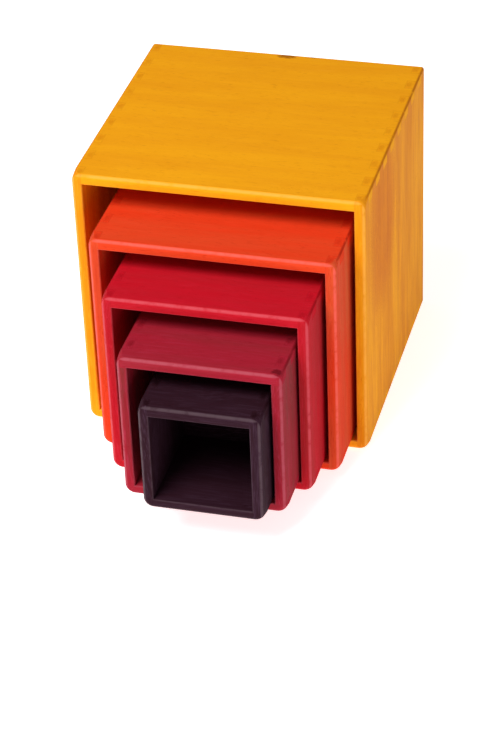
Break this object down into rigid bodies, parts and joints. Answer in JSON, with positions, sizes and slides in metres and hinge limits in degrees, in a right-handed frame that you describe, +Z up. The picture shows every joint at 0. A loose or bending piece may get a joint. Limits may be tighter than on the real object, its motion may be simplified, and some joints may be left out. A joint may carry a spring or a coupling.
{
  "type": "set of wooden nesting boxes",
  "caption": "Nearly cube-shaped wooden toy boxes, each open at the mouth, finger-jointed at the corners and nested one inside the other.",
  "frame": {"origin": "middle of the underside of the largest box, which lies on one side and carries the others", "axes": "+X to the right across the mouths, +Y from the mouths towards the bases, +Z up"},
  "size_m": [0.2, 0.3271, 0.1966],
  "materials": {
    "yellow_stained_wood": "stained and oiled, satin, grain visible",
    "orange_stained_wood": "stained and oiled, satin, grain visible",
    "red_stained_wood": "stained and oiled, satin, grain visible",
    "maroon_stained_wood": "stained and oiled, satin, grain visible",
    "purple_stained_wood": "stained and oiled, satin, grain visible"
  },
  "bodies": {
    "yellow_box": {"yellow_top_wall": "yellow_stained_wood", "yellow_bottom_wall": "yellow_stained_wood", "yellow_left_wall": "yellow_stained_wood", "yellow_right_wall": "yellow_stained_wood", "yellow_base_panel": "yellow_stained_wood"},
    "orange_box": {"orange_top_wall": "orange_stained_wood", "orange_bottom_wall": "orange_stained_wood", "orange_left_wall": "orange_stained_wood", "orange_right_wall": "orange_stained_wood", "orange_base_panel": "orange_stained_wood"},
    "red_box": {"red_top_wall": "red_stained_wood", "red_bottom_wall": "red_stained_wood", "red_left_wall": "red_stained_wood", "red_right_wall": "red_stained_wood", "red_base_panel": "red_stained_wood"},
    "maroon_box": {"maroon_top_wall": "maroon_stained_wood", "maroon_bottom_wall": "maroon_stained_wood", "maroon_left_wall": "maroon_stained_wood", "maroon_right_wall": "maroon_stained_wood", "maroon_base_panel": "maroon_stained_wood"},
    "purple_box": {"purple_top_wall": "purple_stained_wood", "purple_bottom_wall": "purple_stained_wood", "purple_left_wall": "purple_stained_wood", "purple_right_wall": "purple_stained_wood", "purple_base_panel": "purple_stained_wood"}
  },
  "joints": [
    {"name": "orange_box_slide", "type": "slide", "parent": "yellow_box", "child": "orange_box", "axis": [0, -1, 0], "range_m": [-0.0657, 0.1356]},
    {"name": "red_box_slide", "type": "slide", "parent": "orange_box", "child": "red_box", "axis": [0, -1, 0], "range_m": [-0.0581, 0.1108]},
    {"name": "maroon_box_slide", "type": "slide", "parent": "red_box", "child": "maroon_box", "axis": [0, -1, 0], "range_m": [-0.0584, 0.0823]},
    {"name": "purple_box_slide", "type": "slide", "parent": "maroon_box", "child": "purple_box", "axis": [0, -1, 0], "range_m": [-0.0441, 0.0684]}
  ]
}
